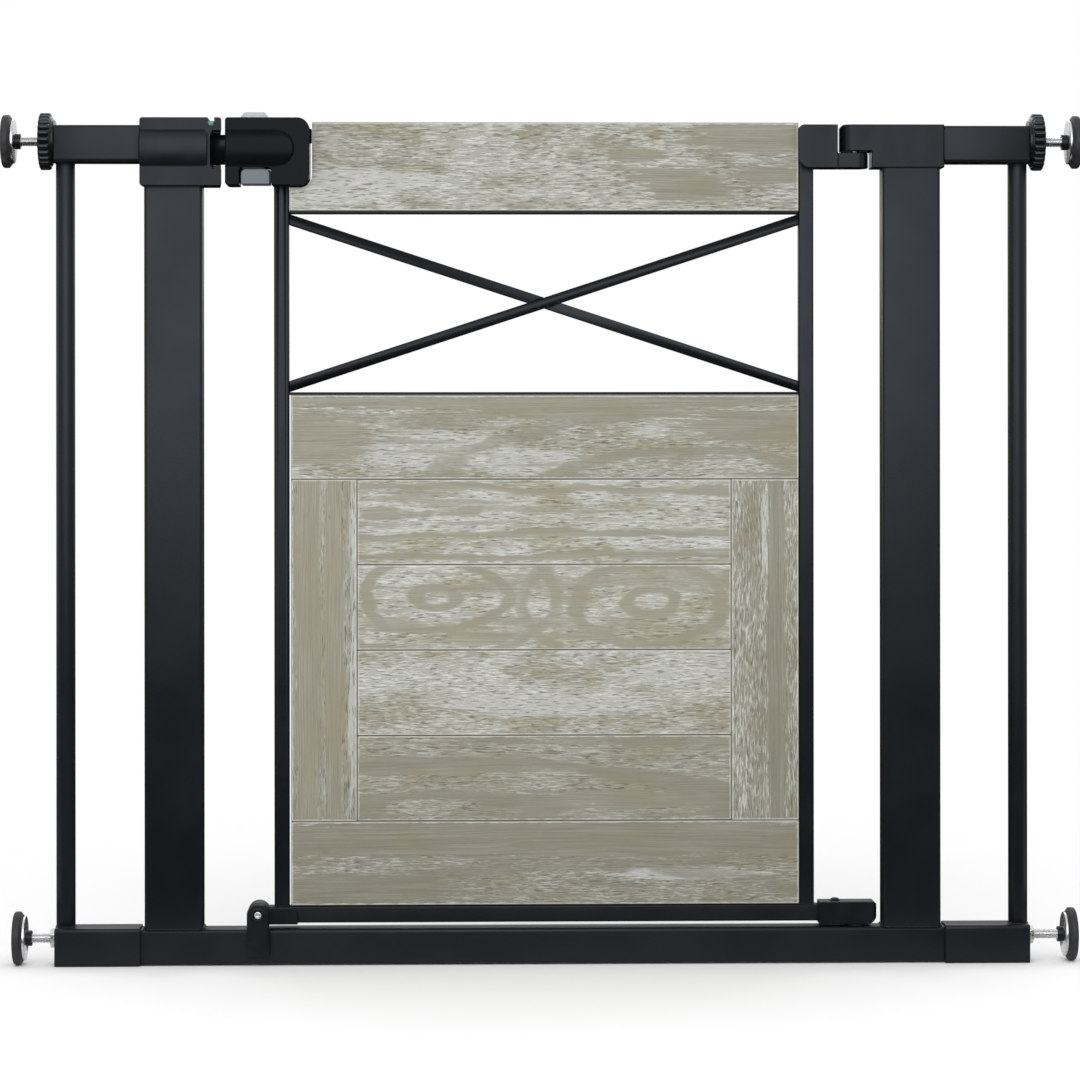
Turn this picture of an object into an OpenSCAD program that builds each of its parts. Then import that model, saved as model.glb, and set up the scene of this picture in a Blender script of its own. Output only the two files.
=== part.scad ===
// Walk-through safety gate, held between two walls by four screw adjusters.
// Frame: origin on the floor, midway between the wall pads and midway through the depth.
// +X points to the hinge side, -Y points to the room the door opens into, +Z is up.

/* [Frame] */
// Width of the welded frame across its bottom rail
frame_w = 674; // [664:1:684]
// Height of the catch housing above the floor, which is the height of the gate
gate_h = 709; // [705:1:720]
// Width of a frame post seen from the front
post_w = 48.6; // [46:0.1:49]
// Depth of the frame tubes, front to back
tube_d = 26; // [25:0.5:26]
// Height of the bottom rail tube
rail_h = 29.3; // [27:0.1:29.3]
// Wall thickness of the steel tubes
wall = 1.5; // [1:0.1:1.6]
// Corner radius of the steel tubes
tube_r = 3; // [2:0.5:4]

/* [Extensions] */
// Width that one extension adds on its side
ext_w = 71.4; // [68:0.1:76]
// Side of the square top extension tube, which is also the depth of the bottom one
ext_tube = 31; // [30:0.5:31.5]
// Height of the bottom extension tube
ext_low_h = 32; // [31:0.5:33]
// Diameter of the round extension upright
ext_rod = 16; // [12:0.2:16]
// Distance from the outer tube end to the axis of the upright
ext_rod_in = 8.2; // [8:0.1:12]

/* [Adjusters] */
// Distance from the middle of the gate to the face of a top wall pad
top_reach = 452.5; // [448:0.5:456]
// Distance from the middle of the gate to the face of the left bottom wall pad
bottom_reach_left = 443.5; // [441:0.5:449]
// Distance from the middle of the gate to the face of the right bottom wall pad
bottom_reach_right = 448.5; // [441:0.5:449]
// Diameter of a wall pad
pad_dia = 44.5; // [40:0.5:44.5]
// Thickness of the rubber of a wall pad
pad_t = 8; // [6:0.5:8]
// Diameter of a spindle
spindle_dia = 8; // [6:0.5:8]
// Diameter of a thumbwheel
wheel_dia = 48.3; // [42:0.1:48.4]
// Number of grip lobes round a thumbwheel
wheel_lobes = 24; // [12:1:28]

/* [Door] */
// Side of the square door tubes
door_tube = 12.5; // [12:0.1:12.5]
// Height of the wooden header board
header_h = 74.3; // [70:0.1:75]
// Thickness of the wooden header and of the panel's outer boards
board_t = 14; // [12:0.5:14]
// Thickness of the panel slats
slat_t = 12; // [8:0.5:12]
// Number of slats between the panel's top and bottom boards
slat_count = 4; // [3:1:6]
// Thickness of the brace bars, seen from the front
brace_h = 8.8; // [6:0.2:9]
// Depth of the brace bars
brace_d = 9; // [6:0.5:10]

/* [Latch] */
// Depth of the latch and catch housings without their raised bands
shell_d = 34; // [34:0.5:36]
// Wall thickness of the plastic housings
shell_t = 2; // [1.8:0.1:2.2]
// How far the raised bands stand proud of the housings
band_h = 3; // [2:0.25:3.5]
// Upward travel of the squeeze trigger
trigger_travel = 5; // [4:0.5:5]
// Bolt travel for each millimetre of trigger travel
ramp_ratio = 1.5; // [1.4:0.05:1.5]

/* [Hidden] */

STEEL = [0.17, 0.18, 0.19];
PLASTIC = [0.10, 0.11, 0.12];
WOOD = [0.66, 0.64, 0.57];
ZINC = [0.72, 0.72, 0.70];

big = 400;                                // long enough to cut right through
gap = 0.2;                                // play between plastic parts and what they hold
run = 0.05;                               // radial running clearance of a pin

// Frame
rail_z = 1.3;                             // the rail hangs just clear of the floor
rail_top = rail_z + rail_h;
rail_mid = rail_z + rail_h / 2;
post_inset = 3.5;                         // from the rail end to the post
post_x = frame_w / 2 - post_inset - post_w / 2;
post_in = post_x - post_w / 2;
post_out = post_x + post_w / 2;
post_top = gate_h - 13;
housing_out = post_out + 3.4;             // outer end of the catch housing and hinge cover

// Extensions
ext_out = housing_out + ext_w;
ext_rod_x = ext_out - ext_rod_in;
top_bar_z = gate_h - 21.7;                // axis height of the top bars
top_spindle_z = gate_h - 19.2;            // the top spindles sit a little above it
bottom_bar_z = ext_low_h / 2;
joiner_play = 0.6;
joiner = ext_tube - 2 * wall - joiner_play;
joiner_in = 36;                           // how deep a joiner goes into a tube

// Adjusters: side, reach of the pad face, axis height
pad_axis_low = pad_dia / 2 + 0.05;
TL = [-1, top_reach, top_spindle_z];
TR = [1, top_reach, top_spindle_z];
BL = [-1, bottom_reach_left, pad_axis_low];
BR = [1, bottom_reach_right, pad_axis_low];
disc_dia = 37;
disc_t = 2;
hub_dia = 13;
hub_t = 5;
spindle_len = 82;
collar_t = 3.4;
wheel_t = 9.6;
nut_af = 14;
nut_t = 4.4;

// Door layout
hinge_x = 262.5;                          // the door's swing axis
stile_l = -225.4;                         // left face of the left stile
stile_l_in = stile_l + door_tube;
stile_r_in = 215;                         // left face of the right stile
stile_r = stile_r_in + door_tube;
door_rail_z = 35;
door_rail_h = 14;
door_rail_top = door_rail_z + door_rail_h;
header_top = gate_h - 3.2;
header_z = header_top - header_h;
strip_t = 2.4;
strip_high_z = header_z - strip_t;
board_l = stile_l_in + 0.7;
board_r = stile_r_in - 0.2;
panel_z = door_rail_top + 0.6;
panel_top = 477;
strip_low_z = panel_top + 0.2;
side_board_w = 56.2;
top_board_h = 70.4;
bottom_board_h = 70.4;
slat_z = panel_z + bottom_board_h;
slat_h = (panel_top - top_board_h - slat_z) / slat_count;
board_r_edge = 1.2;                       // eased corners of the boards
notch_x = -193.4;                         // the header is cut away round the latch housing
notch_z = gate_h - 58;

// Latch housing
latch_l = -265.6;
latch_r = -195.3;
latch_z = gate_h - 56.5;
band_z = gate_h - 26;
band_r = 14.2;
band_end = -209;                          // round end of the raised band on the latch
bolt_l = -281.5;
bolt_r = -231;
bolt_z = band_z - 12.2;
bolt_h = 24.4;
bolt_d = 12;
ramp_start = -238.4;                      // where the driving wedge meets the bolt's underside
bolt_window_l = -260.6;
spring_l = -249.8;
spring_r = -213.8;
trigger_l = -252.4;
trigger_r = -228.7;
trigger_z = latch_z + 1.1;
trigger_top = latch_z + 13.3;
window_gap = 1.7;                         // round the trigger where it shows
chamber_r = -227.6;
trigger_mid_top = bolt_z - trigger_travel - 0.6;
button_x = -241.4;
button_top = gate_h + 5;
shelf_z = bolt_z + bolt_h + 0.6;

// Catch housing
catch_l = -housing_out;
catch_r = -268.5;
catch_z = gate_h - 57;
catch_lean = 5.2;                         // degrees by which the side facing the latch falls back
recess_z = band_z - 17;
recess_h = 32;
recess_l = -281;
scoop_x = -246;                           // centre of the round scoop in the mouth
scoop_r = 34;
lip_x = -276.3;
lip_y = 6.8;
pocket_l = -284.6;
band_l_end = -280.5;                      // where the catch's raised band ends
flag_z = post_top + 2.4;
flag_h = 7.6;
flag_l = -285.4;
flag_r = -275.1;
window_x = -277.2;                        // the round notch that shows the flag
window_z = gate_h - 4.2;
window_rad = 2.7;

// Hinges
cover_l = hinge_x - 12.7;
cover_in = hinge_x + 13.6;
cover_d = 14.6;                           // half depth of the cover
cover_z = gate_h - 41.4;
cover_top = gate_h - 5.2;
knuckle_z = gate_h - 27.4;                // the fixed knuckle sits above the moving one
knuckle_gap = 1.6;
bracket_r = hinge_x - 15.1;
bracket_d = 13.6;                         // half depth of the bracket
arm_r = hinge_x + 11;
arm_d = 12.8;
pin_r = 4;
bush_top = rail_top + 1.5;
block_z = door_rail_z - 2.6;
block_h = 19;
block_d = 9.4;
block_screw_x = hinge_x - 17;

// Swing stop
stop_x = -238.6;
stop_z = door_rail_z + door_rail_h / 2 + 1.2;
stop_w = 18.7;
stop_len = 35.4;
stop_front = -19.6;
stop_back = -13.8;
pad_drop = 19.2;                          // from the stop's axis to the centre of its pad's lower round
ring_r = 5.6;
cap_d = 13.6;                             // half depth of the end cap's barrel
sleeve_r = -212;                          // where the cap's channel ends round
sleeve_d = door_tube / 2 + 1.8;

// ---------------------------------------------------------------- shared shapes

module rounded(w, d, r) {
    square([w - 2 * r, d], center = true);
    square([w, d - 2 * r], center = true);
    for (sx = [-1, 1], sy = [-1, 1])
        translate([sx * (w / 2 - r), sy * (d / 2 - r)])
            circle(r = r, $fn = 48);
}

module tube_section(w, d, r = tube_r) {
    difference() {
        rounded(w, d, r);
        rounded(w - 2 * wall, d - 2 * wall, max(r - wall, 0.6));
    }
}

// Box between two corners
module block(low, high) {
    translate(low)
        cube(high - low);
}

// Tube standing along Z
module tube_z(x, z_low, z_high, w, d, r = tube_r) {
    translate([x, 0, z_low])
        linear_extrude(height = z_high - z_low)
            tube_section(w, d, r);
}

// Tube lying along X
module tube_x(x_low, x_high, z, h, d, r = tube_r) {
    translate([x_low, 0, z])
        rotate([90, 0, 90])
            linear_extrude(height = x_high - x_low)
                tube_section(d, h, r);
}

// Round bar along X from x_low to x_high
module rod_x(x_low, x_high, z, r, y = 0) {
    translate([x_low, y, z])
        rotate([0, 90, 0])
            cylinder(r = r, h = x_high - x_low, $fn = 64);
}

// Round bar along Y from y_low to y_high
module rod_y(x, z, y_low, y_high, r) {
    translate([x, y_high, z])
        rotate([90, 0, 0])
            cylinder(r = r, h = y_high - y_low, $fn = 64);
}

// Outline in X and Z, extruded from y_low to y_high
module slab_y(y_low, y_high) {
    translate([0, y_high, 0])
        rotate([90, 0, 0])
            linear_extrude(height = y_high - y_low)
                children();
}

// Board with eased long edges: outline in X and Z, flat front and back
module board(x_low, x_high, z_low, z_high, t, along_x = true) {
    w = x_high - x_low;
    h = z_high - z_low;
    if (along_x)
        translate([x_low, 0, (z_low + z_high) / 2])
            rotate([90, 0, 90])
                linear_extrude(height = w)
                    rounded(t, h, board_r_edge);
    else
        translate([(x_low + x_high) / 2, 0, z_low])
            linear_extrude(height = h)
                rounded(w, t, board_r_edge);
}

// Coil of round wire along Z, as one closed sweep
module coil(r, wire, len, turns) {
    per_turn = 14;
    sides = 6;
    rings = turns * per_turn + 1;
    pts = [
        for (i = [0:rings - 1], j = [0:sides - 1])
            let (
                a = 360 * i / per_turn,
                z = wire + (len - 2 * wire) * i / (rings - 1),
                b = 360 * j / sides,
                rr = r + wire * cos(b)
            )
            [rr * cos(a), rr * sin(a), z + wire * sin(b)]
    ];
    sides_of_wire = [
        for (i = [0:rings - 2], j = [0:sides - 1])
            let (k = (j + 1) % sides)
            [i * sides + j, (i + 1) * sides + j, (i + 1) * sides + k, i * sides + k]
    ];
    first_cap = [for (j = [0:sides - 1]) j];
    last_cap = [for (j = [sides - 1:-1:0]) (rings - 1) * sides + j];
    polyhedron(points = pts, faces = concat(sides_of_wire, [first_cap, last_cap]), convexity = 10);
}

// Pan head self-tapping screw: head seated at the origin, shank along +Z
module screw(len, r = 1.6, head_r = 3.4) {
    cylinder(r = r, h = len, $fn = 32);
    difference() {
        intersection() {
            translate([0, 0, -2.2])
                cylinder(r = head_r, h = 2.2, $fn = 48);
            translate([0, 0, 2.4])
                sphere(r = 5.2, $fn = 64);
        }
        for (a = [0, 90])
            rotate([0, 0, a])
                translate([-1.7, -0.45, -3.5])
                    cube([3.4, 0.9, 2.4]);
    }
}

// Screw driven from the rear face towards the front
module rear_screw(x, z, y_head, len) {
    translate([x, y_head, z])
        rotate([90, 0, 0])
            screw(len);
}

// ---------------------------------------------------------------- frame

module bottom_rail() {
    color(STEEL)
        difference() {
            tube_x(-frame_w / 2, frame_w / 2, rail_mid, rail_h, tube_d);
            translate([hinge_x, 0, rail_mid])
                cylinder(r = 6.6, h = rail_h, $fn = 64);
        }
}

module post(side) {
    difference() {
        tube_z(side * post_x, rail_top, post_top, post_w, tube_d);
        // holes for the housing screws, through the rear wall only
        for (z = [post_top - 8, post_top - 31])
            rod_y(side * (post_x + 3), z, 0, tube_d, 1.75);
    }
}

module left_post() {
    color(STEEL)
        post(-1);
}

module right_post() {
    color(STEEL)
        post(1);
}

module joiner_tube(x_low, x_high, z, h, d) {
    translate([x_low, 0, z])
        rotate([90, 0, 90])
            linear_extrude(height = x_high - x_low)
                difference() {
                    rounded(d, h, 2);
                    rounded(d - 2 * wall, h - 2 * wall, 0.6);
                }
}

// Top joiners are welded to the posts, bottom ones push into the rail
module extension_joiners() {
    color(STEEL)
        for (side = [0, 1])
            mirror([side, 0, 0]) {
                joiner_tube(post_out, housing_out + joiner_in, top_bar_z, joiner, joiner);
                joiner_tube(frame_w / 2, frame_w / 2 + joiner_in, bottom_bar_z,
                    ext_low_h - 2 * wall - joiner_play, joiner);
                joiner_tube(frame_w / 2 - joiner_in, frame_w / 2 + 0.01, rail_mid,
                    rail_h - 2 * wall - joiner_play, tube_d - 2 * wall - joiner_play);
            }
}

module extension_top_bar(side) {
    mirror([side < 0 ? 1 : 0, 0, 0])
        tube_x(housing_out + 0.2, ext_out, top_bar_z, ext_tube, ext_tube);
}

module extension_bottom_bar(side) {
    mirror([side < 0 ? 1 : 0, 0, 0])
        tube_x(frame_w / 2 + 0.2, ext_out, bottom_bar_z, ext_low_h, ext_tube);
}

module extension_upright(side) {
    translate([side * ext_rod_x, 0, ext_low_h])
        difference() {
            cylinder(r = ext_rod / 2, h = top_bar_z - ext_tube / 2 - ext_low_h, $fn = 64);
            translate([0, 0, -1])
                cylinder(r = ext_rod / 2 - 1.2, h = gate_h, $fn = 64);
        }
}

module left_extension_top_bar() {
    color(STEEL)
        extension_top_bar(-1);
}

module left_extension_bottom_bar() {
    color(STEEL)
        extension_bottom_bar(-1);
}

module left_extension_upright() {
    color(STEEL)
        extension_upright(-1);
}

module right_extension_top_bar() {
    color(STEEL)
        extension_top_bar(1);
}

module right_extension_bottom_bar() {
    color(STEEL)
        extension_bottom_bar(1);
}

module right_extension_upright() {
    color(STEEL)
        extension_upright(1);
}

// Plug in a tube end with a hole for the spindle; a top plug carries the wheel's stepped collar
module end_plug(corner, collar) {
    side = corner[0];
    bar_z = collar ? top_bar_z : bottom_bar_z;
    plug_side = ext_tube - 2 * wall - 0.1;
    plug_h = plug_side + (collar ? 0 : ext_low_h - ext_tube);
    mirror([side < 0 ? 1 : 0, 0, 0])
        difference() {
            union() {
                translate([ext_out - 9, 0, bar_z])
                    rotate([90, 0, 90])
                        linear_extrude(height = 9)
                            rounded(plug_side, plug_h, 1.4);
                if (collar) {
                    rod_x(ext_out - 0.1, ext_out + 1.6, corner[2], 11.4);
                    rod_x(ext_out, ext_out + collar_t - 0.2, corner[2], 9.6);
                }
            }
            rod_x(ext_out - 20, ext_out + 20, corner[2], spindle_dia / 2 + 0.3);
        }
}

module end_plugs() {
    color(PLASTIC) {
        end_plug(TL, true);
        end_plug(TR, true);
        end_plug(BL, false);
        end_plug(BR, false);
    }
}

// ---------------------------------------------------------------- adjusters

module thumbwheel(corner) {
    r = wheel_dia / 2;
    lobe_r = PI * r / wheel_lobes * 0.62;
    x0 = ext_out + collar_t;
    mirror([corner[0] < 0 ? 1 : 0, 0, 0])
        translate([x0, 0, corner[2]])
            rotate([0, 90, 0])
                difference() {
                    union() {
                        cylinder(r = r - lobe_r, h = wheel_t, $fn = 96);
                        for (i = [0:wheel_lobes - 1])
                            rotate([0, 0, 360 * (i + 0.5) / wheel_lobes])
                                translate([r - lobe_r, 0, 0])
                                    cylinder(r = lobe_r, h = wheel_t, $fn = 32);
                    }
                    translate([0, 0, -1])
                        cylinder(r = spindle_dia / 2 + run, h = wheel_t + 2, $fn = 64);
                    // dished outer face round a raised hub
                    translate([0, 0, wheel_t - 2.2])
                        difference() {
                            cylinder(r = r - 5.2, h = 3, $fn = 96);
                            translate([0, 0, -1])
                                cylinder(r = 9, h = 5, $fn = 64);
                        }
                }
}

module top_left_thumbwheel() {
    color(PLASTIC)
        thumbwheel(TL);
}

module top_right_thumbwheel() {
    color(PLASTIC)
        thumbwheel(TR);
}

// Hexagon nut with a washer face, chamfered on its outer corners
module hex_nut(corner) {
    x0 = ext_out + 0.1;
    across_corners = nut_af / cos(30);
    mirror([corner[0] < 0 ? 1 : 0, 0, 0])
        translate([x0, 0, corner[2]])
            rotate([0, 90, 0])
                difference() {
                    intersection() {
                        cylinder(d = across_corners, h = nut_t, $fn = 6);
                        cylinder(r1 = across_corners / 2 + nut_t, r2 = across_corners / 2 - 0.8,
                            h = nut_t + 0.4, $fn = 64);
                    }
                    translate([0, 0, -1])
                        cylinder(r = spindle_dia / 2 + run, h = nut_t + 2, $fn = 64);
                }
}

module bottom_left_nut() {
    color(ZINC)
        hex_nut(BL);
}

module bottom_right_nut() {
    color(ZINC)
        hex_nut(BR);
}

module spindle(corner) {
    x_end = corner[1] - pad_t - 1;
    mirror([corner[0] < 0 ? 1 : 0, 0, 0]) {
        rod_x(x_end - spindle_len, x_end - 4, corner[2], spindle_dia / 2);
        rod_x(x_end - 4.5, x_end, corner[2], spindle_dia / 2 - 1);
    }
}

module top_left_spindle() {
    color(ZINC)
        spindle(TL);
}

module top_right_spindle() {
    color(ZINC)
        spindle(TR);
}

module bottom_left_spindle() {
    color(ZINC)
        spindle(BL);
}

module bottom_right_spindle() {
    color(ZINC)
        spindle(BR);
}

// Backing disc with the hub that grips the spindle
module disc(corner) {
    x_face = corner[1] - pad_t;
    mirror([corner[0] < 0 ? 1 : 0, 0, 0])
        difference() {
            union() {
                rod_x(x_face - disc_t, x_face, corner[2], disc_dia / 2);
                rod_x(x_face - disc_t - hub_t, x_face - disc_t + 0.5, corner[2], hub_dia / 2);
            }
            rod_x(x_face - disc_t - hub_t - 1, x_face - 5, corner[2], spindle_dia / 2 + run);
            rod_x(x_face - 6, x_face - 1, corner[2], spindle_dia / 2 - 1 + run);
        }
}

module top_left_disc() {
    color(ZINC)
        disc(TL);
}

module top_right_disc() {
    color(ZINC)
        disc(TR);
}

module bottom_left_disc() {
    color(ZINC)
        disc(BL);
}

module bottom_right_disc() {
    color(ZINC)
        disc(BR);
}

// Rubber pad: shallow cone behind, rounded rim, flat face with a bead groove
module pad(corner) {
    r = pad_dia / 2;
    rim = 2.4;
    mirror([corner[0] < 0 ? 1 : 0, 0, 0])
        translate([corner[1] - pad_t, 0, corner[2]])
            rotate([0, 90, 0])
                rotate_extrude($fn = 96) {
                    polygon([
                        [0, 0], [r - rim - 0.8, 0], [r, rim], [r, pad_t - rim],
                        [r - rim, pad_t], [0, pad_t]
                    ]);
                    translate([r - rim, pad_t - rim])
                        circle(r = rim, $fn = 32);
                }
}

module top_left_pad() {
    color(PLASTIC)
        pad(TL);
}

module top_right_pad() {
    color(PLASTIC)
        pad(TR);
}

module bottom_left_pad() {
    color(PLASTIC)
        pad(BL);
}

module bottom_right_pad() {
    color(PLASTIC)
        pad(BR);
}

// ---------------------------------------------------------------- catch

module catch_outline(inset = 0) {
    translate([(catch_l + catch_r) / 2, (catch_z + gate_h) / 2])
        rounded(catch_r - catch_l - 2 * inset, gate_h - catch_z - 2 * inset, 2.4 - inset / 2);
}

// Bar whose front and back faces are crowned, as thick as the housings with their bands
module crowned_bar(x_low, x_high) {
    crown_r = (band_r * band_r + band_h * band_h) / (2 * band_h);
    offset_y = shell_d / 2 + band_h - crown_r;
    intersection() {
        rod_x(x_low, x_high, band_z, crown_r, offset_y);
        rod_x(x_low, x_high, band_z, crown_r, -offset_y);
        block([x_low, -big, band_z - band_r], [x_high, big, band_z + band_r]);
    }
}

// Outline of the latch band: straight at the left, round at the right end
module band_outline(grow = 0) {
    left = latch_l + 0.8 - grow / 2;
    translate([left, band_z - band_r - grow])
        square([band_end - band_r - left, 2 * (band_r + grow)]);
    translate([band_end - band_r, band_z])
        circle(r = band_r + grow, $fn = 96);
}

// Scooped mouth in front, a lip, and the pocket that the bolt drops into
module strike_cut() {
    intersection() {
        translate([0, 0, recess_z])
            linear_extrude(height = recess_h)
                polygon([
                    [recess_l, -shell_d], [lip_x, -lip_y], [catch_r + 1, -lip_y],
                    [catch_r + 1, -shell_d]
                ]);
        rod_y(scoop_x, recess_z + recess_h / 2, -big, big, scoop_r);
    }
    block([pocket_l, -lip_y, bolt_z - 1], [catch_r + 1, lip_y, bolt_z + bolt_h + 1]);
}

// Space for the flag's slide, its leg, and the notch it shows through
module flag_cut() {
    block([flag_l - 0.8, -shell_d / 2 + shell_t, flag_z - gap],
        [flag_r + 5.2, shell_d / 2 - shell_t, flag_z + flag_h + gap]);
    block([pocket_l - 0.1, -3.3, bolt_z + bolt_h], [flag_r - 1.1, 3.3, flag_z + 1]);
    rod_y(window_x, window_z, -shell_d, shell_d, window_rad);
    block([window_x - window_rad, -shell_d, window_z], [window_x + window_rad, shell_d, gate_h + 1]);
}

module catch_body() {
    difference() {
        union() {
            slab_y(-shell_d / 2, shell_d / 2)
                catch_outline();
            crowned_bar(catch_l, band_l_end);
        }
        // grooves above and below the band, front and back
        for (z = [band_z - band_r - 0.9, band_z + band_r])
            for (y = [-shell_d / 2, shell_d / 2])
                block([catch_l - 1, y - 0.6, z], [band_l_end - 1.5, y + 0.6, z + 0.9]);
        // cavity round the post, open below
        block([-post_out - gap, -tube_d / 2 - gap, catch_z - 1],
            [-post_in + gap, tube_d / 2 + gap, post_top + gap]);
        // hollow above the post
        block([catch_l + shell_t, -shell_d / 2 + shell_t, post_top + 2],
            [flag_l - 3.1, shell_d / 2 - shell_t, gate_h - shell_t]);
        // passage for the joiner
        rod_clear = joiner / 2 + gap;
        block([catch_l - 1, -rod_clear, top_bar_z - rod_clear],
            [-post_out, rod_clear, top_bar_z + rod_clear]);
        strike_cut();
        flag_cut();
        // the side facing the latch falls back towards the rear
        translate([catch_r, -shell_d / 2, 0])
            rotate([0, 0, catch_lean])
                block([0, -30, catch_z - 1], [30, 60, gate_h + 1]);
    }
}

module front_half() {
    block([-big, -big, 0], [big, 0, gate_h + 50]);
}

module rear_half() {
    block([-big, 0, 0], [big, big, gate_h + 50]);
}

CATCH_SCREWS = [[-277.4, catch_z + 5.4], [-post_x - 3, post_top - 8], [-post_x - 3, post_top - 31]];

module catch_front_shell() {
    color(PLASTIC)
        difference() {
            intersection() {
                catch_body();
                front_half();
            }
            rod_y(CATCH_SCREWS[0][0], CATCH_SCREWS[0][1], -shell_d / 2 + 4, 1, 1.6);
        }
}

module catch_rear_shell() {
    color(PLASTIC)
        difference() {
            intersection() {
                catch_body();
                rear_half();
            }
            for (s = CATCH_SCREWS) {
                rod_y(s[0], s[1], -1, big, 1.8);
                rod_y(s[0], s[1], shell_d / 2 - 1.2, big, 3.9);
            }
        }
}

module indicator_flag() {
    color([0.12, 0.5, 0.35]) {
        y = shell_d / 2 - shell_t - 0.3;
        block([flag_l, -y, flag_z], [flag_r, y, flag_z + flag_h]);
        block([flag_l + 1, -3, bolt_z + 4], [flag_l + 3.6, 3, flag_z + 0.5]);
    }
}

// ---------------------------------------------------------------- upper hinge

module hinge_cover() {
    rod_clear = joiner / 2 + gap;
    corner_r = 12;
    color(PLASTIC)
        difference() {
            union() {
                // fixed knuckle above the moving one, round towards the door
                translate([(cover_l + cover_in + 2 * corner_r) / 2, 0, knuckle_z])
                    linear_extrude(height = cover_top - knuckle_z)
                        intersection() {
                            rounded(cover_in + 2 * corner_r - cover_l, 2 * cover_d, corner_r);
                            translate([-big, -big])
                                square([big + (cover_in + 2 - cover_l) / 2 - corner_r, 2 * big]);
                        }
                translate([(cover_in + housing_out) / 2, 0, cover_z])
                    linear_extrude(height = cover_top - cover_z)
                        rounded(housing_out - cover_in, 2 * cover_d, 1.2);
            }
            // socket for the post, open below
            block([post_in - gap, -tube_d / 2 - gap, cover_z - 1],
                [post_out + gap, tube_d / 2 + gap, post_top + gap]);
            translate([hinge_x, 0, 0])
                cylinder(r = pin_r, h = cover_top - 3, $fn = 64);
            block([post_out, -rod_clear, top_bar_z - rod_clear],
                [housing_out + 1, rod_clear, top_bar_z + rod_clear]);
            rod_y(post_x + 3, post_top - 8, 0, big, 1.8);
            // sloped top edge towards the knuckle
            translate([cover_l, 0, cover_top])
                rotate([0, 45, 0])
                    cube([3.2, 60, 3.2], center = true);
        }
}

module hinge_pin() {
    color(ZINC)
        translate([hinge_x, 0, cover_z + 0.6])
            cylinder(r = pin_r, h = cover_top - 3 - cover_z - 0.6, $fn = 64);
}

module frame_screws() {
    color(ZINC) {
        rear_screw(CATCH_SCREWS[0][0], CATCH_SCREWS[0][1], shell_d / 2 - 1.2, 27);
        rear_screw(CATCH_SCREWS[1][0], CATCH_SCREWS[1][1], shell_d / 2 - 1.2, 10);
        rear_screw(CATCH_SCREWS[2][0], CATCH_SCREWS[2][1], shell_d / 2 - 1.2, 10);
        rear_screw(post_x + 3, post_top - 8, cover_d, 10);
    }
}

// Front outline of the bracket: one large round lower left, a smaller one upper left
module bracket_outline() {
    r_low = 8.6;
    r_high = 4;
    w = bracket_r - stile_r_in;
    h = cover_top - cover_z;
    translate([stile_r_in, cover_z]) {
        translate([r_low, 0])
            square([w - r_low, r_low + 1]);
        translate([0, r_low])
            square([w, h - r_low - r_high]);
        translate([r_high, h - r_high - 1])
            square([w - r_high, r_high + 1]);
        translate([r_low, r_low])
            circle(r = r_low, $fn = 64);
        translate([r_high, h - r_high])
            circle(r = r_high, $fn = 48);
    }
}

// Moving bracket: socket for the stile, and the arm whose knuckle sits below the fixed one
module hinge_bracket() {
    arm_top = knuckle_z - knuckle_gap;
    arm_round = 9;
    color(PLASTIC)
        difference() {
            union() {
                slab_y(-bracket_d, bracket_d)
                    bracket_outline();
                translate([(bracket_r - 10 + arm_r) / 2, 0, cover_z])
                    linear_extrude(height = arm_top - cover_z)
                        rounded(arm_r - bracket_r + 10, 2 * arm_d, arm_round);
            }
            translate([hinge_x, 0, 0])
                cylinder(r = pin_r + run, h = big * 2, $fn = 64);
            block([stile_r_in - 1, -door_tube / 2 - run, cover_z - 2],
                [stile_r + run, door_tube / 2 + run, header_top - 5.8]);
            rod_y(stile_r_in + door_tube / 2, header_top - 14, 0, big, 1.8);
        }
}

// ---------------------------------------------------------------- lower pivot

module pivot_bush() {
    color(PLASTIC)
        translate([hinge_x, 0, 0])
            difference() {
                union() {
                    translate([0, 0, rail_top - 9])
                        cylinder(r = 6.5, h = 10, $fn = 64);
                    translate([0, 0, rail_top])
                        cylinder(r = 9.4, h = bush_top - rail_top, $fn = 64);
                }
                cylinder(r = pin_r + run, h = big, $fn = 64);
            }
}

module pivot_pin() {
    color(ZINC)
        translate([hinge_x, 0, rail_top - 8])
            cylinder(r = pin_r, h = block_z + block_h - 3 - rail_top + 8, $fn = 64);
}

module pivot_block() {
    end_r = 18;
    color(PLASTIC)
        difference() {
            intersection() {
                union() {
                    block([stile_r + 4, -block_d, block_z], [hinge_x, block_d, block_z + block_h]);
                    intersection() {
                        translate([hinge_x, 0, block_z])
                            cylinder(r = end_r, h = block_h, $fn = 96);
                        block([hinge_x - 0.1, -block_d, block_z],
                            [hinge_x + end_r + 1, block_d, block_z + block_h]);
                    }
                }
                // blunt nose, cut back more below than above
                slab_y(-20, 20)
                    polygon([
                        [stile_r, block_z], [hinge_x + 12, block_z], [hinge_x + end_r, block_z + 5],
                        [hinge_x + end_r, block_z + block_h - 3], [hinge_x + 15, block_z + block_h],
                        [stile_r, block_z + block_h]
                    ]);
            }
            translate([hinge_x, 0, 0])
                cylinder(r = pin_r, h = block_z + block_h - 3, $fn = 64);
            // socket for the end of the door's bottom rail
            block([0, -door_tube / 2 - 0.1, door_rail_z - 0.1],
                [hinge_x - 9, door_tube / 2 + 0.1, door_rail_top + 0.1]);
            translate([block_screw_x, 0, 0])
                cylinder(r = 1.8, h = big, $fn = 32);
        }
}

// ---------------------------------------------------------------- door frame

module door_left_stile() {
    color(STEEL)
        difference() {
            tube_z(stile_l + door_tube / 2, door_rail_top, latch_z + 12, door_tube, door_tube, 1.6);
            rod_y(stile_l + door_tube / 2, latch_z + 6, -20, 20, 1.9);
        }
}

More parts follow.
